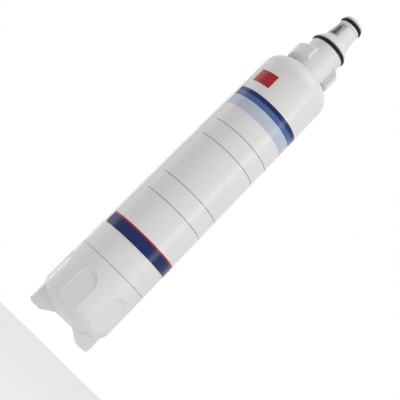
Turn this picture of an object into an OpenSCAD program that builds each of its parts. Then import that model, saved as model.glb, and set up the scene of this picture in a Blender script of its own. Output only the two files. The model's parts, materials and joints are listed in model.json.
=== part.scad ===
// Slim twist-in water filter cartridge, nose up, as it hangs in its filter head.
// The origin is on the axis at the root of the neck, where the shoulder ends.
// Angles are counted from the front, the -Y side, and grow towards +X.

/* [Body] */
// Outside diameter of the body below the shoulder
body_top_d = 66.8; // [64:0.2:69]
// Outside diameter of the body at the weld seam, wider by the moulding draft
body_base_d = 69.9; // [69.4:0.1:71.4]
// Length of the drafted body, from the shoulder to the weld seam
body_len = 223.7; // [180:0.1:260]
// Wall of the body and the shoulder
wall = 2.8; // [2.4:0.1:3.2]

/* [Bottom cap] */
// How far the cap stands proud of the body at the seam
cap_step = 0.15; // [0:0.05:0.4]
// Length of the cap, from the seam to the lowest point of its domed end
cap_len = 58.2; // [50:0.1:70]
// Wall of the cap's side and end
cap_wall = 4.3; // [4:0.1:5]
// Round between the cap's side and its domed end
cap_corner_r = 12; // [8:0.5:14]
// Crown radius of the domed end
cap_dome_r = 69; // [60:1:90]
// Height of the tongue that stands inside the body
tongue_h = 7; // [4:0.5:10]
// Height of the dark line left open at the seam
seam_gap = 0.7; // [0.4:0.1:1]
// Depth of the dark line left open at the seam
seam_depth = 1.1; // [0.6:0.1:1.4]

/* [Finger recesses] */
// Recesses round the cap
recess_count = 6; // [4:2:6]
// Width of the flat floor of a recess
recess_w = 18.4; // [14:0.2:19]
// Depth of the flat floor below the cap's side
recess_depth = 1.65; // [1:0.05:2]
// Sideways run of the recess wall for each unit of its depth
recess_run = 1.4; // [0.8:0.1:2]
// Distance from the seam down to the top of a recess floor
recess_top = 15.1; // [12:0.1:20]

/* [Fishtail fin] */
// Direction that the fin's broad face looks to
fin_angle = 14; // [-90:1:90]
// Fin thickness at its foot
fin_foot_t = 5.2; // [3:0.1:7]
// Fin thickness at the height of the dome
fin_root_t = 6.4; // [4:0.1:8]
// How far the foot lies below the domed end
fin_drop = 7.3; // [5:0.1:12]
// Set-back of the fin's outer edge from the recess floor
fin_inset = 0.2; // [0.1:0.1:2]
// Width of the notch between the two feet
notch_foot_w = 43.6; // [30:0.2:50]
// Width of the notch at the domed end
notch_top_w = 20.4; // [10:0.2:28]
// Round of the outer foot corners
fin_corner_r = 3; // [1:0.5:5]

/* [Neck and lugs] */
// Neck diameter
neck_d = 34.2; // [33.6:0.1:36]
// Inside diameter of the neck
neck_bore_d = 24.6; // [23:0.1:26]
// Height of the neck up to the large seal's gland
neck_len = 30.8; // [26:0.1:36]
// Diameter over the two lugs
lug_d = 46.6; // [42:0.1:50]
// Height of the lug's locking land above the shoulder
lug_land_z = 3.4; // [3:0.1:6]
// Height of the lug's outer face
lug_face_h = 14; // [12:0.1:16]
// Rise of the sloped top of a lug
lug_top_rise = 5.2; // [3:0.1:7]
// Round, cut as a chamfer, of the lug's lower outer edge
lug_edge = 0.8; // [0.3:0.1:1.5]
// Arc that a lug covers
lug_span = 95; // [70:1:110]
// Direction of the lug end that enters first
lug_lead_angle = -24; // [-60:1:0]
// Arc of the ramp on the lug's underside
ramp_span = 56; // [30:1:65]
// Slope of the ramp
ramp_slope = 17; // [8:0.5:20]

/* [Large seal] */
// Section of the large seal
large_seal_t = 3.5; // [3:0.1:3.6]
// Diameter over the large seal
large_seal_d = 36.4; // [35.6:0.1:37]
// Diameter of the lip above the large seal
lip_d = 33.2; // [32:0.1:34]
// Height of that lip
lip_h = 1.6; // [1:0.1:3]

/* [Nose] */
// Height of the flare between the lip and the nose
flare_h = 5.2; // [3:0.1:8]
// Nose diameter above the flare
nose_base_d = 25.5; // [24.8:0.1:27]
// Nose diameter below its collar
nose_top_d = 19.9; // [19.4:0.1:20.6]
// Height of the tapered nose
nose_len = 17.9; // [15:0.1:24]
// Wall of the nose
nose_wall = 1.8; // [1.4:0.1:2]
// Windows round the nose
window_count = 2; // [2:1:3]
// Arc that a window covers
window_span = 60; // [40:1:75]
// Direction of the first window's middle
window_angle = -45; // [-90:1:90]
// Solid nose left below and above a window
window_margin = 2.2; // [1.5:0.1:4]

/* [Small seal] */
// Section of the small seal
small_seal_t = 3.2; // [2.6:0.1:3.3]
// Diameter over the small seal
small_seal_d = 22.8; // [22.2:0.1:23.4]
// Diameter of the collar below and the lip above the small seal
collar_d = 20.8; // [20.6:0.1:21.4]
// Height of the collar
collar_h = 2.2; // [1.4:0.1:4]
// Height of the tip above the small seal
tip_h = 2.5; // [1.8:0.1:4]
// Round of the tip's outer edge
tip_round = 0.8; // [0.3:0.1:1.2]

/* [Outlet] */
// Outlet bore through the tip
outlet_d = 7.6; // [6:0.1:8]
// Wall of the outlet tube
tube_wall = 2.1; // [1.6:0.1:2.3]
// Diameter of the socket that the spigot plugs into
socket_d = 12.4; // [12:0.1:13]
// Height of the socket's inner end above the neck's root
socket_top = 20; // [18:0.5:22]
// Height of the socket's mouth above the neck's root
socket_mouth = 2; // [0:0.5:4]
// Wall of the socket
socket_wall = 2.2; // [1.8:0.1:2.4]
// Thickness of the webs that hold the outlet tube in the neck
web_t = 2; // [1.4:0.1:3]

/* [Filter element] */
// Room for water between the element's end caps and the narrowest bore round them
water_gap = 2.3; // [1.7:0.1:5]
// Bore of the carbon block
block_bore_d = 15; // [14:0.1:18]
// Thickness of the felt wrap
wrap_t = 1.4; // [0.8:0.1:1.6]
// Thickness of the net
net_t = 0.8; // [0.5:0.1:1]
// Wall of the core tube
core_wall = 1.4; // [1:0.1:2]
// Diameter of the core tube's holes
core_hole_d = 3; // [2:0.1:4]
// Wall of the end caps' plates
end_plate_t = 3; // [2:0.1:4]
// Wall of the end caps' skirts
end_skirt_t = 1.3; // [1:0.1:1.6]
// Depth of the end caps' skirts
end_skirt_h = 6; // [4:0.5:10]
// Thickness of the glue between the block and an end cap
bond_t = 1; // [0.5:0.1:2]
// Free height above the upper end cap
head_room = 9; // [7:0.1:12]
// Height of the support ribs above the lowest point of the cap
support_h = 33; // [26:0.5:40]
// Thickness of the support ribs
rib_t = 2.4; // [1.6:0.1:4]
// Section of the spigot's seals
spigot_seal_t = 1.8; // [1.5:0.1:2]
// Distance between the spigot's seals
spigot_seal_pitch = 5; // [3.6:0.1:6]

/* [Label] */
// Distance from the neck's root down to the label's top edge
label_drop = 21; // [18:0.1:30]
// Height of the label
label_len = 196.2; // [160:0.1:200]
// Direction of the label's left edge
label_angle = -70; // [-120:1:0]
// Arc that the label covers
label_span = 250; // [200:1:330]
// Thickness of the label film
film_t = 0.15; // [0.1:0.01:0.3]
// Round of the label's corners
label_corner_r = 5; // [2:0.5:8]
// Plain border left round the print
label_margin = 1; // [0.5:0.1:3]
// Thickness of the print
ink_t = 0.05; // [0.03:0.01:0.1]
// Distance from the label's top edge down to the deep blue band
band_drop = 29.1; // [20:0.1:34]
// Height of the deep blue band
band_h = 4.1; // [2:0.1:8]
// Height of the mid blue field
mid_h = 4.9; // [2:0.1:8]
// Height of the pale blue field
pale_h = 10.8; // [6:0.1:14]
// Height of the foot band
foot_h = 10.6; // [6:0.1:16]
// Height of the red line above the foot band
red_line_h = 1.5; // [0.8:0.1:3]
// Distance from the label's top edge down to the red block
mark_drop = 6.6; // [3:0.1:9]
// Height of the red block
mark_h = 13.6; // [8:0.1:18]
// Arc from the label's left edge to the red block
mark_lead = 12; // [6:1:20]
// Arc that the red block covers
mark_span = 34; // [16:1:50]
// Height of a thin blue line
rule_h = 0.45; // [0.3:0.05:1]
// Arc from the label's left edge to the thin blue lines
rule_lead = 17; // [8:1:30]
// Distance from the label's top edge down to the first thin blue line
rule_1 = 67.3; // [60:0.1:72]
// Distance down to the second thin blue line
rule_2 = 84.9; // [78:0.1:92]
// Distance down to the third thin blue line
rule_3 = 130.8; // [120:0.1:136]
// Distance down to the fourth thin blue line
rule_4 = 150.3; // [142:0.1:156]

/* [Clearances] */
// Radial room between pieces that slide together when it is assembled
fit_gap = 0.1; // [0.05:0.01:0.2]
// Radial room under and over a seal, which is drawn unsqueezed
seal_gap = 0.05; // [0.02:0.01:0.1]
// Room along the axis in a seal's gland
gland_room = 0.6; // [0.3:0.1:1]
// Adhesive under the label
glue_gap = 0.06; // [0.04:0.01:0.1]
// Room between the label film and its print
ink_gap = 0.03; // [0.02:0.01:0.05]

/* [Hidden] */

white = [0.85, 0.85, 0.83];
deep_blue = [0.03, 0.10, 0.36];
mid_blue = [0.40, 0.52, 0.72];
pale_blue = [0.78, 0.82, 0.90];
red = [0.72, 0.05, 0.10];
rubber_black = [0.04, 0.04, 0.04];
natural = [0.90, 0.90, 0.86];
carbon_grey = [0.12, 0.12, 0.12];
felt_white = [0.94, 0.94, 0.92];
glue_amber = [0.85, 0.78, 0.60];

// Number of steps of a drawn quarter arc, the facets of a full circle, and the overrun of a cut
arc_steps = 12;
round_fn = 96;
over = 1;

// Main radii
body_top_r = body_top_d / 2;
body_base_r = body_base_d / 2;
neck_r = neck_d / 2;
neck_bore_r = neck_bore_d / 2;
shoulder_r = body_top_r - neck_r;
cap_r = body_base_r + cap_step;
cap_bore_r = cap_r - cap_wall;
tongue_r = body_base_r - wall - fit_gap;
recess_floor = cap_r - recess_depth;

// Heights down the body and the cap
z_shoulder = -shoulder_r;
z_seam = z_shoulder - body_len;
z_dome = z_seam - cap_len;
z_foot = z_dome - fin_drop;
cap_corner_z = z_dome + cap_dome_r
             - sqrt(pow(cap_dome_r - cap_corner_r, 2) - pow(cap_r - cap_corner_r, 2));
recess_arc_z = z_seam - recess_top - recess_w / 2;

// Large seal's gland and the lip above it
large_gland_r = large_seal_d / 2 - large_seal_t - seal_gap;
large_gland_h = large_seal_t + gland_room;
z_lip = neck_len + large_gland_h;
z_flare = z_lip + lip_h;
z_nose = z_flare + flare_h;
z_collar = z_nose + nose_len;

// Small seal's gland and the tip
small_gland_r = small_seal_d / 2 - small_seal_t - seal_gap;
small_gland_h = small_seal_t + gland_room;
z_small_gland = z_collar + collar_h;
z_tip_lip = z_small_gland + small_gland_h;
z_tip = z_tip_lip + tip_h;

// Outlet tube, its socket and the water channel round it
outlet_r = outlet_d / 2;
tube_r = outlet_r + tube_wall;
socket_r = socket_d / 2;
socket_out_r = socket_r + socket_wall;
z_channel = z_collar - window_margin / 2;

// Filter element, from the outside in
end_cap_r = min(body_top_r - wall, cap_bore_r) - water_gap;
skirt_in_r = end_cap_r - end_skirt_t;
net_out_r = skirt_in_r - fit_gap;
net_in_r = net_out_r - net_t;
wrap_out_r = net_in_r - fit_gap;
wrap_in_r = wrap_out_r - wrap_t;
block_r = wrap_in_r - fit_gap;
core_r = block_bore_d / 2 - fit_gap;
core_bore_r = core_r - core_wall;
z_end_top = -wall - head_room;
z_end_low = z_dome + support_h;
z_block_top = z_end_top - end_plate_t - bond_t;
z_block_low = z_end_low + end_plate_t + bond_t;
spigot_r = socket_r - fit_gap;
spigot_gland_r = socket_r - seal_gap - spigot_seal_t - seal_gap;
z_spigot_top = socket_top - over;
spigot_seal_inset = 4;
net_rows = 12;
net_bays = 8;
core_rows = 12;
core_ring = 4;

// Distance of a rounded label corner's centre from the edges, as a share of its radius. It is just under 1,
// so that the arc crosses the edges.
corner_centre = 0.98;

// Label heights
z_label_top = -label_drop;
z_label_low = z_label_top - label_len;
z_band = z_label_top - band_drop;
z_mid = z_band - band_h;
z_pale = z_mid - mid_h;
z_foot_band = z_label_low + label_margin;
z_red_line = z_foot_band + foot_h;
margin_arc = label_margin / body_base_r * 180 / PI;
film_lift = glue_gap + film_t + ink_gap;

// Radius of the drafted body at a height
function skin_r(z) = body_top_r + (body_base_r - body_top_r) * (z_shoulder - z) / body_len;

// Nose radius at a height
function nose_r(z) = (nose_base_d + (nose_top_d - nose_base_d) * (z - z_nose) / nose_len) / 2;

// Points of an arc in a profile, from angle a0 to a1
function arc(cx, cy, r, a0, a1) =
    [for (i = [0:arc_steps]) let (a = a0 + (a1 - a0) * i / arc_steps) [cx + r * cos(a), cy + r * sin(a)]];

// Turns what is drawn along +X to a direction counted from the front
module facing(angle) {
    rotate([0, 0, angle - 90]) children();
}

// Plain ring between two radii and two heights
module ring(r_in, r_out, z0, z1) {
    translate([0, 0, z0]) difference() {
        cylinder(h = z1 - z0, r = r_out, $fn = round_fn);
        translate([0, 0, -over]) cylinder(h = z1 - z0 + 2 * over, r = r_in, $fn = round_fn);
    }
}

// Round seal of section t whose outside lies at radius r_out
module seal(r_out, t, z) {
    color(rubber_black)
        rotate_extrude($fn = round_fn) translate([r_out - t / 2, z]) circle(d = t, $fn = 32);
}

// One profile makes the whole moulding: outside from the seam to the tip, then back down the inside
module shell_wall() {
    outside = concat(
        [[body_base_r, z_seam]],
        arc(neck_r, z_shoulder, shoulder_r, 0, 90),
        [[neck_r, neck_len], [large_gland_r, neck_len], [large_gland_r, z_lip],
         [lip_d / 2, z_lip], [lip_d / 2, z_flare], [nose_base_d / 2, z_nose], [nose_top_d / 2, z_collar],
         [collar_d / 2, z_collar], [collar_d / 2, z_small_gland], [small_gland_r, z_small_gland],
         [small_gland_r, z_tip_lip], [collar_d / 2, z_tip_lip]],
        arc(collar_d / 2 - tip_round, z_tip - tip_round, tip_round, 0, 90));
    outlet = [
        [outlet_r, z_tip], [outlet_r, socket_top], [socket_r, socket_top], [socket_r, socket_mouth],
        [socket_out_r, socket_mouth], [socket_out_r, socket_top + socket_wall],
        [tube_r, socket_top + 2 * socket_wall], [tube_r, z_channel]];
    inside = concat(
        [[nose_r(z_channel) - nose_wall, z_channel], [nose_base_d / 2 - nose_wall, z_nose],
         [neck_bore_r, z_flare], [neck_bore_r, -wall]],
        arc(neck_r, z_shoulder, shoulder_r - wall, 90, 0),
        [[body_base_r - wall, z_seam]]);
    rotate_extrude($fn = round_fn) polygon(concat(outside, outlet, inside));
}

// A lug: a sloped-top sector whose underside climbs towards the end that enters first
module lug() {
    z_face = lug_land_z + lug_face_h;
    root = neck_r - over;
    top_slope = lug_top_rise / (lug_d / 2 - neck_r);
    profile = [
        [root, lug_land_z], [lug_d / 2 - lug_edge, lug_land_z], [lug_d / 2, lug_land_z + lug_edge],
        [lug_d / 2, z_face], [root, z_face + top_slope * (lug_d / 2 - root)]];
    difference() {
        facing(lug_lead_angle - lug_span)
            rotate_extrude(angle = lug_span, $fn = round_fn) polygon(profile);
        facing(lug_lead_angle - ramp_span) translate([0, 0, lug_land_z]) rotate([ramp_slope, 0, 0])
            translate([0, 0, -lug_d]) cube([lug_d, lug_d, lug_d]);
    }
}

// A web between the outlet tube and the wall of the neck and nose
module web() {
    bite = nose_wall / 2;
    rotate([90, 0, 0]) translate([0, 0, -web_t / 2]) linear_extrude(height = web_t) polygon([
        [tube_r - bite, socket_top + 2 * socket_wall], [neck_bore_r + bite, socket_top + 2 * socket_wall],
        [neck_bore_r + bite, z_flare - over], [nose_base_d / 2 - bite, z_nose],
        [nose_r(z_channel) - bite, z_channel + bite], [tube_r - bite, z_channel + bite]]);
}

// A window through the nose wall, which leaves the outlet tube behind it whole
module nose_window() {
    z0 = z_nose + window_margin;
    z1 = z_collar - window_margin / 2;
    facing(-window_span / 2) rotate_extrude(angle = window_span, $fn = round_fn) polygon([
        [tube_r + nose_wall / 2, z0], [nose_base_d, z0], [nose_base_d, z1], [tube_r + nose_wall / 2, z1]]);
}

module shell() {
    color(white) difference() {
        union() {
            shell_wall();
            for (side = [0, 180]) rotate([0, 0, side]) lug();
            for (i = [1:window_count])
                facing(window_angle + (i - 0.5) * 360 / window_count) web();
        }
        for (i = [1:window_count])
            rotate([0, 0, window_angle + i * 360 / window_count]) nose_window();
    }
}

// Half section of the cap's outside or, drawn thinner, of its inside
module cap_profile(inset, z_open) {
    dome_z = z_dome + cap_dome_r;
    corner_x = cap_r - cap_corner_r;
    meet = atan2(cap_corner_z - dome_z, corner_x);
    polygon(concat(
        [[0, z_open], [0, z_dome + inset]],
        arc(0, dome_z, cap_dome_r - inset, -90, meet),
        arc(corner_x, cap_corner_z, cap_corner_r - inset, meet, 0),
        [[cap_r - inset, z_open]]));
}

// Cutter for one finger recess: flat floor, sloped sides, round sloped top, open at the bottom
module recess_cutter() {
    reach = recess_depth + over;
    half = recess_w / 2;
    wide = half + recess_run * reach;
    translate([0, 0, z_dome]) linear_extrude(height = recess_arc_z - z_dome) polygon([
        [recess_floor, -half], [recess_floor + reach, -wide],
        [recess_floor + reach, wide], [recess_floor, half]]);
    translate([recess_floor, 0, recess_arc_z]) rotate([0, 90, 0])
        cylinder(h = reach, r1 = half, r2 = wide, $fn = round_fn);
}

// Fishtail fin: its outline, drawn flat, crossed with its drafted thickness
module fin() {
    half = recess_floor - fin_inset;
    foot_half = notch_foot_w / 2;
    top_half = notch_top_w / 2;
    r = fin_corner_r;
    top = z_dome + cap_corner_r;
    outline = concat(
        [[half, top], [half, z_foot + r]], arc(half - r, z_foot + r, r, 0, -90),
        [[foot_half, z_foot], [top_half, z_dome], [-top_half, z_dome], [-foot_half, z_foot]],
        arc(r - half, z_foot + r, r, -90, -180), [[-half, top]]);
    thickness = [
        [-fin_foot_t / 2, z_foot], [fin_foot_t / 2, z_foot], [fin_root_t / 2, z_dome],
        [fin_root_t / 2, top], [-fin_root_t / 2, top], [-fin_root_t / 2, z_dome]];
    facing(fin_angle) rotate([90, 0, 90]) intersection() {
        translate([0, 0, -fin_root_t]) linear_extrude(height = 2 * fin_root_t) polygon(outline);
        translate([-cap_r, 0, 0]) rotate([0, 90, 0]) linear_extrude(height = 2 * cap_r)
            polygon(thickness);
    }
}

// Rib inside the cap that carries the filter element and centres it with a raised outer step
module support_rib() {
    seat_r = end_cap_r + fit_gap;
    rotate([90, 0, 0]) translate([0, 0, -rib_t / 2]) linear_extrude(height = rib_t) polygon([
        [core_r, z_dome + over], [cap_r - over, z_dome + over],
        [cap_r - over, z_end_low + end_plate_t], [seat_r, z_end_low + end_plate_t],
        [seat_r, z_end_low], [core_r, z_end_low]]);
}

module bottom_cap() {
    step = 360 / recess_count;
    color(white) union() {
        difference() {
            union() {
                difference() {
                    rotate_extrude($fn = round_fn) cap_profile(0, z_seam);
                    for (i = [1:recess_count]) facing(fin_angle + (i - 0.5) * step) recess_cutter();
                    ring(cap_r - seam_depth, cap_r + over, z_seam - seam_gap, z_seam + over);
                }
                fin();
            }
            rotate_extrude($fn = round_fn) cap_profile(cap_wall, z_seam + over);
        }
        ring(cap_bore_r, tongue_r, z_seam - over, z_seam + tongue_h);
        intersection() {
            for (i = [1:recess_count]) facing(fin_angle + i * step) support_rib();
            rotate_extrude($fn = round_fn) cap_profile(cap_wall / 2, z_seam);
        }
    }
}

module large_o_ring() {
    seal(large_seal_d / 2, large_seal_t, neck_len + large_gland_h / 2);
}

module small_o_ring() {
    seal(small_seal_d / 2, small_seal_t, z_small_gland + small_gland_h / 2);
}

// Sheet wrapped on the drafted body, between two heights and from one direction over an arc
module wrapped(z0, z1, angle, span, lift, t) {
    facing(angle) rotate_extrude(angle = span, $fn = round_fn) polygon([
        [skin_r(z0) + lift, z0], [skin_r(z0) + lift + t, z0],
        [skin_r(z1) + lift + t, z1], [skin_r(z1) + lift, z1]]);
}

// Cuts one corner of a wrapped sheet round; side and end are 1 or -1 for the corner's outward ways
module corner_cutter(angle, z, r, side, end) {
    centre = r * corner_centre;
    inset = centre / skin_r(z) * 180 / PI;
    reach = r + over;
    facing(angle - side * inset) translate([0, 0, z - end * centre]) difference() {
        translate([neck_r, side > 0 ? 0 : -reach, end > 0 ? 0 : -reach]) cube([body_base_r, reach, reach]);
        rotate([0, 90, 0]) cylinder(h = body_base_d, r = r, $fn = round_fn);
    }
}

module label_film() {
    color(white) difference() {
        wrapped(z_label_low, z_label_top, label_angle, label_span, glue_gap, film_t);
        for (end = [-1, 1]) {
            z = end > 0 ? z_label_top : z_label_low;
            corner_cutter(label_angle, z, label_corner_r, -1, end);
            corner_cutter(label_angle + label_span, z, label_corner_r, 1, end);
        }
    }
}

// Print that runs the whole way along the label between two heights
module band(z0, z1) {
    wrapped(z0, z1, label_angle + margin_arc, label_span - 2 * margin_arc, film_lift, ink_t);
}

module label_blue_fields() {
    r = label_corner_r - label_margin;
    color(deep_blue) {
        band(z_mid, z_band);
        difference() {
            band(z_foot_band, z_red_line);
            corner_cutter(label_angle + margin_arc, z_foot_band, r, -1, -1);
            corner_cutter(label_angle + label_span - margin_arc, z_foot_band, r, 1, -1);
        }
    }
}

module label_mid_blue_field() {
    color(mid_blue) band(z_pale, z_mid);
}

module label_pale_blue_field() {
    color(pale_blue) band(z_pale - pale_h, z_pale);
}

module label_red_fields() {
    z_mark = z_label_top - mark_drop;
    color(red) {
        band(z_red_line, z_red_line + red_line_h);
        wrapped(z_mark - mark_h, z_mark, label_angle + mark_lead, mark_span, film_lift, ink_t);
    }
}

module label_rules() {
    color(mid_blue) for (drop = [rule_1, rule_2, rule_3, rule_4])
        wrapped(z_label_top - drop - rule_h, z_label_top - drop, label_angle + rule_lead,
                label_span - rule_lead - margin_arc, film_lift, ink_t);
}

// Height of a spigot seal, counted from the top one
function spigot_seal_z(i) = z_spigot_top - spigot_seal_inset - i * spigot_seal_pitch;

module upper_end_cap() {
    glands = [for (i = [0, 1]) spigot_seal_z(i)];
    half = (spigot_seal_t + gland_room) / 2;
    color(natural) difference() {
        union() {
            translate([0, 0, z_end_top - end_plate_t])
                cylinder(h = end_plate_t, r = end_cap_r, $fn = round_fn);
            ring(skirt_in_r, end_cap_r, z_end_top - end_plate_t - end_skirt_h, z_end_top - end_plate_t / 2);
            translate([0, 0, z_end_top - over])
                cylinder(h = z_spigot_top - z_end_top + over, r = spigot_r, $fn = round_fn);
        }
        translate([0, 0, z_end_top - end_plate_t - over])
            cylinder(h = z_spigot_top - z_end_top + end_plate_t + 2 * over, r = outlet_r, $fn = round_fn);
        for (z = glands) ring(spigot_gland_r, spigot_r + over, z - half, z + half);
    }
}

module upper_spigot_seal() {
    seal(socket_r - seal_gap, spigot_seal_t, spigot_seal_z(0));
}

module lower_spigot_seal() {
    seal(socket_r - seal_gap, spigot_seal_t, spigot_seal_z(1));
}

// Closed plate with a skirt round the net and a plug in the core tube
module lower_end_cap() {
    color(natural) union() {
        translate([0, 0, z_end_low]) cylinder(h = end_plate_t, r = end_cap_r, $fn = round_fn);
        ring(skirt_in_r, end_cap_r, z_end_low + end_plate_t / 2, z_end_low + end_plate_t + end_skirt_h);
        translate([0, 0, z_end_low + over])
            cylinder(h = end_plate_t + end_skirt_h - over, r = core_bore_r - fit_gap, $fn = round_fn);
    }
}

module upper_bond() {
    color(glue_amber) ring(block_bore_d / 2, block_r, z_block_top, z_block_top + bond_t);
}

module lower_bond() {
    color(glue_amber) ring(block_bore_d / 2, block_r, z_block_low - bond_t, z_block_low);
}

module carbon_block() {
    color(carbon_grey) ring(block_bore_d / 2, block_r, z_block_low, z_block_top);
}

module core_tube() {
    pitch = (z_block_top - z_block_low) / (core_rows + 1);
    color(natural) difference() {
        ring(core_bore_r, core_r, z_block_low - bond_t, z_block_top + bond_t);
        for (row = [1:core_rows], i = [1:core_ring])
            translate([0, 0, z_block_low + row * pitch])
                rotate([0, 90, (i + row / 2) * 360 / core_ring])
                    cylinder(h = core_r + over, d = core_hole_d, $fn = 24);
    }
}

module prefilter_wrap() {
    color(felt_white) ring(wrap_in_r, wrap_out_r, z_block_low - bond_t, z_block_top + bond_t);
}

// Net drawn as a sleeve of square bays
module outer_net() {
    pitch = (z_block_top - z_block_low) / net_rows;
    bay_w = 2 * PI * net_in_r / net_bays * 0.7;
    color(natural) difference() {
        ring(net_in_r, net_out_r, z_block_low - bond_t, z_block_top + bond_t);
        for (row = [1:net_rows - 2], i = [1:net_bays])
            translate([0, 0, z_block_low + (row + 0.5) * pitch]) rotate([0, 0, i * 360 / net_bays])
                translate([0, -bay_w / 2, 0]) cube([net_out_r + over, bay_w, pitch * 0.7]);
    }
}

shell();
bottom_cap();
large_o_ring();
small_o_ring();
label_film();
label_blue_fields();
label_mid_blue_field();
label_pale_blue_field();
label_red_fields();
label_rules();
upper_end_cap();
upper_spigot_seal();
lower_spigot_seal();
lower_end_cap();
upper_bond();
lower_bond();
carbon_block();
core_tube();
prefilter_wrap();
outer_net();
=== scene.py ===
"""Looks of a slim twist-in water filter cartridge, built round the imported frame.

Lengths are in metres, and MM is a millimetre. The axis is Z, with the nose up. A direction round the axis is
an angle in degrees, counted from the front, the -Y side, and growing towards +X.
"""

import json
import logging
import math
from collections.abc import Mapping, Sequence
from dataclasses import dataclass, field
from typing import Any, Protocol

import bpy
from mathutils import Matrix, Vector


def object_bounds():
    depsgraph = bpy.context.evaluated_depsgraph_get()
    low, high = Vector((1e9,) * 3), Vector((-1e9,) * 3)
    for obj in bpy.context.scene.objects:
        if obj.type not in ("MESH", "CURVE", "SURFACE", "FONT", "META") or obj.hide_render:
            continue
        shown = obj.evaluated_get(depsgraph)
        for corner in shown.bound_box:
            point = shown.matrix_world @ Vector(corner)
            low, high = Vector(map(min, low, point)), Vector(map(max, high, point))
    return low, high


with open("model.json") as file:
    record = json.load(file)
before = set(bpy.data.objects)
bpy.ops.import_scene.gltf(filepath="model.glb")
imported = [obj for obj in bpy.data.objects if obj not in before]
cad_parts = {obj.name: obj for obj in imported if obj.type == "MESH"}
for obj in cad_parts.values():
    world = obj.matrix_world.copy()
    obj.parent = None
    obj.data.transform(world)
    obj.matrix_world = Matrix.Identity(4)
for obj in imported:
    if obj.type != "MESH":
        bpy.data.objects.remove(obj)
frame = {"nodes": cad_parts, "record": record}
CAD_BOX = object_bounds()

log = logging.getLogger("cartridge")

MM = 0.001
WHITE = (1.0, 1.0, 1.0, 1.0)
Colour = tuple[float, float, float]


def around(radius: float, angle: float, z: float) -> Vector:
    """The point at a distance from the axis, a direction and a height.

    Args:
        radius: Distance from the axis.
        angle: Direction in degrees from the front.
        z: Height.

    Returns:
        The point.
    """
    turn = math.radians(angle)
    return Vector((radius * math.sin(turn), -radius * math.cos(turn), z))


class Value:
    """A shader socket that adds Math nodes when it is used in an expression."""

    def __init__(self, graph: "Graph", socket: bpy.types.NodeSocket) -> None:
        """Wraps a socket.

        Args:
            graph: The material's graph, which the socket belongs to.
            socket: The node's output.
        """
        self.graph = graph
        self.socket = socket

    def _math(self, operation: str, *values: "Value | float") -> "Value":
        """Adds a Math node.

        Args:
            operation: The node's operation.
            values: Its inputs, in order.

        Returns:
            The result.
        """
        return self.graph.add("ShaderNodeMath", {"operation": operation}, dict(enumerate(values)))

    def __add__(self, other: "Value | float") -> "Value":
        """This value plus another."""
        return self._math("ADD", self, other)

    def __radd__(self, other: float) -> "Value":
        """A number plus this value."""
        return self._math("ADD", other, self)

    def __sub__(self, other: "Value | float") -> "Value":
        """This value less another."""
        return self._math("SUBTRACT", self, other)

    def __rsub__(self, other: float) -> "Value":
        """A number less this value."""
        return self._math("SUBTRACT", other, self)

    def __mul__(self, other: "Value | float") -> "Value":
        """This value times another."""
        return self._math("MULTIPLY", self, other)

    def __rmul__(self, other: float) -> "Value":
        """A number times this value."""
        return self._math("MULTIPLY", other, self)


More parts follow.
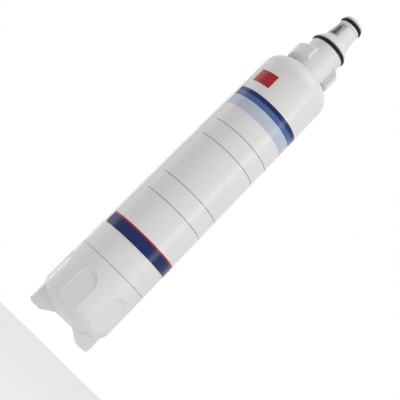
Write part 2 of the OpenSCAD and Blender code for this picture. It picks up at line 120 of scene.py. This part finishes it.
class Graph:
    """The node graph of one material or world, with one way to add a node."""

    def __init__(self, owner: bpy.types.Material | bpy.types.World) -> None:
        """Starts with an empty graph.

        Args:
            owner: The new material or world.
        """
        owner.use_nodes = True
        self.owner = owner
        self.tree = owner.node_tree
        self.tree.nodes.clear()

    def add(
        self,
        kind: str,
        settings: Mapping[str, Any] | None = None,
        inputs: Mapping[str | int, Any] | None = None,
        out: str | int = 0,
    ) -> Value:
        """Adds a node, sets it, then fills or links its inputs.

        Args:
            kind: The node's type.
            settings: Its own settings, and "stops" for a ramp's positions and colours.
            inputs: A number, colour or Value for each input, by name or place.
            out: The output that is wanted.

        Returns:
            That output.
        """
        node = self.tree.nodes.new(kind)
        for name, setting in (settings or {}).items():
            if name == "stops":
                self._set_stops(node.color_ramp, setting)
            else:
                setattr(node, name, setting)
        for name, value in (inputs or {}).items():
            if isinstance(value, Value):
                self.tree.links.new(value.socket, node.inputs[name])
            else:
                node.inputs[name].default_value = value
        return Value(self, node.outputs[out]) if node.outputs else Value(self, None)

    @staticmethod
    def _set_stops(ramp: bpy.types.ColorRamp, stops: Sequence[tuple[float, Colour]]) -> None:
        """Gives a ramp its stops.

        Args:
            ramp: The ramp, with Blender's own two stops.
            stops: Position and colour of each stop.
        """
        while len(ramp.elements) < len(stops):
            ramp.elements.new(0.5)
        for element, (place, colour) in zip(ramp.elements, stops):
            element.position = place
            element.color = (*colour, 1.0)

    def place(self) -> Value:
        """The point on the surface, in the object's own metres."""
        return self.add("ShaderNodeTexCoord", out="Object")

    def noise(self, grain: float, detail: float = 2.0, stretch: Colour = (1.0, 1.0, 1.0)) -> Value:
        """Soft noise of a real size.

        Args:
            grain: Rough size of a blotch.
            detail: Layers of finer noise.
            stretch: How much shorter a blotch is along each axis.

        Returns:
            A value round 0.5.
        """
        spread = self.add("ShaderNodeMapping", {}, {"Vector": self.place(), "Scale": stretch})
        inputs = {"Vector": spread, "Scale": 1.0 / grain, "Detail": detail, "Roughness": 0.55}
        return self.add("ShaderNodeTexNoise", {}, inputs)

    def ramp(self, value: Value, stops: Sequence[tuple[float, Colour]]) -> Value:
        """A colour looked up from a value.

        Args:
            value: The value.
            stops: Position and colour of each stop.

        Returns:
            The colour.
        """
        return self.add("ShaderNodeValToRGB", {"stops": stops}, {"Fac": value})

    def bump(self, height: Value, depth: float, under: Value | None = None) -> Value:
        """A surface normal that follows a height.

        Args:
            height: The height, from 0 to 1.
            depth: How deep a height of 1 is.
            under: A normal that it is laid over.

        Returns:
            The normal.
        """
        inputs: dict[str | int, Any] = {"Height": height, "Distance": depth, "Strength": 1.0}
        if under is not None:
            inputs["Normal"] = under
        return self.add("ShaderNodeBump", {}, inputs)

    def rounded(self, radius: float) -> Value:
        """A surface normal that softens the sharp edges of a moulding.

        Args:
            radius: The round of an edge.

        Returns:
            The normal.
        """
        return self.add("ShaderNodeBevel", {"samples": 6}, {"Radius": radius})

    def surface(self, inputs: Mapping[str | int, Any]) -> bpy.types.Material:
        """Ends the graph in one Principled surface.

        Args:
            inputs: Its inputs.

        Returns:
            The material.
        """
        shader = self.add("ShaderNodeBsdfPrincipled", {}, inputs)
        self.add("ShaderNodeOutputMaterial", {}, {"Surface": shader})
        return self.owner

    def shown(self) -> Value:
        """A value that is 1 for rays that look at the backdrop straight, by gloss or through glass."""
        camera = self.add("ShaderNodeLightPath", out="Is Camera Ray")
        glossy = self.add("ShaderNodeLightPath", out="Is Glossy Ray")
        through = self.add("ShaderNodeLightPath", out="Is Transmission Ray")
        return camera + glossy + through


class Finish(Protocol):
    """What every finish offers."""

    name: str

    def material(self) -> bpy.types.Material:
        """Builds the finish's material."""


def shades(colour: Colour, spread: float) -> list[tuple[float, Colour]]:
    """Two close shades of a colour, for a ramp.

    Args:
        colour: The middle colour.
        spread: How far each shade lies from it, as a share.

    Returns:
        The ramp's stops.
    """
    dark = tuple(c * (1.0 - spread) for c in colour)
    light = tuple(min(c * (1.0 + spread), 1.0) for c in colour)
    return [(0.3, dark), (0.7, light)]


@dataclass(frozen=True)
class MouldedPlastic:
    """Satin moulded plastic: a fine spark-eroded grain over faint sink waves, with softened edges."""

    name: str
    colour: Colour
    roughness: float = 0.42
    edge: float = 0.35 * MM
    specular: float = 0.5

    def material(self) -> bpy.types.Material:
        """Builds the plastic's material."""
        graph = Graph(bpy.data.materials.new(self.name))
        tint = graph.noise(18 * MM)
        smear = graph.noise(7 * MM, 3.0)
        waves = graph.bump(graph.noise(14 * MM, 1.0), 0.05 * MM, graph.rounded(self.edge))
        grain = graph.bump(graph.noise(0.5 * MM, 2.0), 0.008 * MM, waves)
        return graph.surface({
            "Base Color": graph.ramp(tint, shades(self.colour, 0.012)),
            "Roughness": smear * 0.10 + (self.roughness - 0.05),
            "Specular IOR Level": self.specular,
            "Normal": grain,
        })


@dataclass(frozen=True)
class GreasedRubber:
    """Black seal rubber under a thin, uneven film of grease."""

    name: str
    colour: Colour = (0.012, 0.012, 0.013)
    roughness: float = 0.45
    specular: float = 0.15

    def material(self) -> bpy.types.Material:
        """Builds the rubber's material."""
        graph = Graph(bpy.data.materials.new(self.name))
        grease = graph.noise(2.5 * MM, 3.0)
        grain = graph.bump(graph.noise(0.25 * MM), 0.006 * MM)
        return graph.surface({
            "Base Color": graph.ramp(graph.noise(3 * MM), shades(self.colour, 0.2)),
            "Roughness": self.roughness - 0.2 * grease,
            "Specular IOR Level": self.specular,
            "Normal": grain,
        })


@dataclass(frozen=True)
class GlossFilm:
    """Smooth label film or the ink printed on it, with the faint ripple of a stuck-on sheet."""

    name: str
    colour: Colour
    roughness: float = 0.22
    specular: float = 0.25
    spread: float = 0.01

    def material(self) -> bpy.types.Material:
        """Builds the film's material."""
        graph = Graph(bpy.data.materials.new(self.name))
        ripple = graph.bump(graph.noise(9 * MM, 1.0), 0.03 * MM)
        return graph.surface({
            "Base Color": graph.ramp(graph.noise(6 * MM), shades(self.colour, self.spread)),
            "Roughness": graph.noise(5 * MM, 3.0) * 0.06 + (self.roughness - 0.03),
            "Specular IOR Level": self.specular,
            "Normal": ripple,
        })


@dataclass(frozen=True)
class PressedCarbon:
    """Pressed carbon: dark grains of uneven size with a dull glint."""

    name: str
    colour: Colour = (0.022, 0.022, 0.024)
    grain: float = 0.9 * MM

    def material(self) -> bpy.types.Material:
        """Builds the carbon's material."""
        graph = Graph(bpy.data.materials.new(self.name))
        cell = {"Vector": graph.place(), "Scale": 1.0 / self.grain}
        grains = graph.add("ShaderNodeTexVoronoi", {}, cell, "Distance")
        return graph.surface({
            "Base Color": graph.ramp(grains, shades(self.colour, 0.6)),
            "Roughness": grains * 0.3 + 0.6,
            "Normal": graph.bump(grains, 0.15 * MM),
        })


@dataclass(frozen=True)
class PressedFelt:
    """White felt: short fibres that lie round the block."""

    name: str
    colour: Colour = (0.76, 0.76, 0.73)

    def material(self) -> bpy.types.Material:
        """Builds the felt's material."""
        graph = Graph(bpy.data.materials.new(self.name))
        fibres = graph.noise(1.2 * MM, 6.0, (1.0, 1.0, 5.0))
        return graph.surface({
            "Base Color": graph.ramp(fibres, shades(self.colour, 0.12)),
            "Roughness": fibres * 0.1 + 0.85,
            "Sheen Weight": 0.3,
            "Normal": graph.bump(fibres, 0.2 * MM),
        })


@dataclass(frozen=True)
class MeltedGlue:
    """Hot-melt glue: amber, glossy and slightly lumpy."""

    name: str
    colour: Colour = (0.62, 0.48, 0.24)

    def material(self) -> bpy.types.Material:
        """Builds the glue's material."""
        graph = Graph(bpy.data.materials.new(self.name))
        lumps = graph.noise(4 * MM, 2.0)
        return graph.surface({
            "Base Color": graph.ramp(lumps, shades(self.colour, 0.15)),
            "Roughness": lumps * 0.15 + 0.2,
            "Normal": graph.bump(lumps, 0.3 * MM),
        })


FINISHES: dict[str, Finish] = {
    "shell_plastic": MouldedPlastic("satin_white_shell", (0.80, 0.80, 0.79)),
    "cap_plastic": MouldedPlastic("satin_white_cap", (0.80, 0.80, 0.79)),
    "seal_rubber": GreasedRubber("greased_black_rubber"),
    "label_film": GlossFilm("glossy_white_film", (0.83, 0.82, 0.81)),
    "ink_deep_blue": GlossFilm("deep_blue_ink", (0.006, 0.018, 0.12), spread=0.06),
    "ink_mid_blue": GlossFilm("mid_blue_ink", (0.07, 0.14, 0.34), spread=0.04),
    "ink_pale_blue": GlossFilm("pale_blue_ink", (0.53, 0.59, 0.70), spread=0.02),
    "ink_red": GlossFilm("red_ink", (0.42, 0.010, 0.022), spread=0.05),
    "natural_plastic": MouldedPlastic("natural_plastic", (0.78, 0.77, 0.72), 0.5),
    "glue": MeltedGlue("amber_glue"),
    "carbon": PressedCarbon("pressed_carbon"),
    "felt": PressedFelt("white_felt"),
}


class Paintshop:
    """Holds one material for each finish and puts it on pieces."""

    def __init__(self, finishes: Mapping[str, Finish]) -> None:
        """Builds the materials.

        Args:
            finishes: A finish for each of the record's material slots.
        """
        self.materials = {slot: finish.material() for slot, finish in finishes.items()}

    def dress(self, piece: bpy.types.Object, material: bpy.types.Material) -> None:
        """Gives a piece one material in place of what it had.

        Args:
            piece: The mesh object.
            material: Its material.
        """
        piece.data.materials.clear()
        piece.data.materials.append(material)

    def dress_carried_nodes(self) -> None:
        """Gives every node of the frame the finish that its slot names."""
        for part in frame["record"]["subparts"]:
            self.dress(frame["nodes"][part["node"]], self.materials[part["material_slot"]])
            log.info("node %s has finish %s", part["node"], part["material_slot"])


@dataclass
class Softbox:
    """A plain rectangular studio light that faces the object."""

    name: str
    azimuth: float
    height: float
    distance: float
    width: float
    tall: float
    brightness: float

    def place(self, centre: Vector) -> None:
        """Adds the light.

        Args:
            centre: The point that it faces.
        """
        data = bpy.data.lights.new(self.name, "AREA")
        data.shape = "RECTANGLE"
        data.size = self.width
        data.size_y = self.tall
        data.energy = self.brightness * math.pi * self.width * self.tall
        lamp = bpy.data.objects.new(self.name, data)
        bpy.context.scene.collection.objects.link(lamp)
        lamp.location = around(self.distance, self.azimuth, self.height)
        away = (lamp.location - centre).normalized()
        lamp.rotation_euler = away.to_track_quat("Z", "Y").to_euler()
        lamp.visible_camera = False
        log.info("light %s", self.name)


@dataclass
class Studio:
    """White floor and backdrop, soft lights, and the camera of the photograph."""

    lens: float = 79.3
    camera_at: Vector = field(default_factory=lambda: Vector((0.0, -748.5, -274.8)) * MM)
    pitch: float = 9.80
    yaw: float = 0.88
    roll: float = 44.38
    floor_drop: float = 280 * MM
    floor_size: float = 8.0
    floor_paint: tuple[float, float, float, float] = (0.86, 0.86, 0.86, 1.0)
    floor_glow: float = 0.45
    room_level: float = 0.40
    boxes: Sequence[Softbox] = (
        Softbox("key_softbox", azimuth=57, height=0.10, distance=1.1, width=0.3, tall=0.9, brightness=4.2),
        Softbox("rim_softbox", azimuth=-105, height=0.05, distance=1.2, width=0.6, tall=0.9, brightness=1.3),
        Softbox("back_softbox", azimuth=-150, height=0.05, distance=1.2, width=0.6, tall=0.9, brightness=1.1),
        Softbox("top_softbox", azimuth=30, height=1.0, distance=0.5, width=0.8, tall=0.8, brightness=2.4),
        Softbox("low_softbox", azimuth=-15, height=-0.47, distance=0.8, width=0.7, tall=0.2, brightness=1.7),
    )

    def build(self) -> None:
        """Builds the room, the lights and the camera."""
        view = bpy.context.scene.view_settings
        view.view_transform = "Standard"
        self._room()
        self._floor()
        middle = (CAD_BOX[0] + CAD_BOX[1]) / 2
        for box in self.boxes:
            box.place(middle)
        self._camera()

    def _room(self) -> None:
        """Makes the room white where it is seen, and grey where it only lights the object."""
        graph = Graph(bpy.data.worlds.new("white_room"))
        light = graph.add("ShaderNodeBackground", {}, {"Color": WHITE, "Strength": self.room_level})
        white = graph.add("ShaderNodeBackground", {}, {"Color": WHITE, "Strength": 1.0})
        seen = graph.add("ShaderNodeMixShader", {}, {0: graph.shown(), 1: light, 2: white})
        graph.add("ShaderNodeOutputWorld", {}, {"Surface": seen})
        bpy.context.scene.world = graph.owner

    def _floor(self) -> None:
        """Lays a white floor well below the object, with its own soft shadow on it."""
        height = CAD_BOX[0].z - self.floor_drop
        bpy.ops.mesh.primitive_plane_add(size=self.floor_size, location=(0.0, 0.0, height))
        floor = bpy.context.object
        floor.name = "floor"
        graph = Graph(bpy.data.materials.new("white_floor"))
        paint = graph.add("ShaderNodeBsdfDiffuse", {}, {"Color": self.floor_paint})
        none = graph.add("ShaderNodeEmission", {}, {"Strength": 0.0})
        glow = graph.add("ShaderNodeEmission", {}, {"Strength": self.floor_glow})
        lift = graph.add("ShaderNodeMixShader", {}, {0: graph.shown(), 1: none, 2: glow})
        both = graph.add("ShaderNodeAddShader", {}, {0: paint, 1: lift})
        graph.add("ShaderNodeOutputMaterial", {}, {"Surface": both})
        floor.data.materials.append(graph.owner)

    def _camera(self) -> None:
        """Puts the camera where the photograph was taken from, rolled so that the object leans."""
        pitch, yaw, roll = (math.radians(a) for a in (self.pitch, self.yaw, self.roll))
        ahead = Vector((
            math.sin(yaw) * math.cos(pitch), math.cos(yaw) * math.cos(pitch), math.sin(pitch)))
        level = Vector((math.cos(yaw), -math.sin(yaw), 0.0))
        upright = level.cross(ahead)
        right = level * math.cos(roll) + upright * math.sin(roll)
        top = upright * math.cos(roll) - level * math.sin(roll)
        data = bpy.data.cameras.new("camera")
        data.lens = self.lens
        data.sensor_width = 36.0
        data.clip_start = 0.01
        camera = bpy.data.objects.new("camera", data)
        bpy.context.scene.collection.objects.link(camera)
        turned = Matrix((right, top, -ahead)).transposed().to_4x4()
        camera.matrix_world = Matrix.Translation(self.camera_at) @ turned
        bpy.context.scene.camera = camera


def main() -> None:
    """Builds the studio and dresses the frame, in order."""
    logging.basicConfig(level=logging.INFO, format="%(name)s: %(message)s")
    Studio().build()
    paint = Paintshop(FINISHES)
    paint.dress_carried_nodes()


if __name__ == "__main__":
    main()
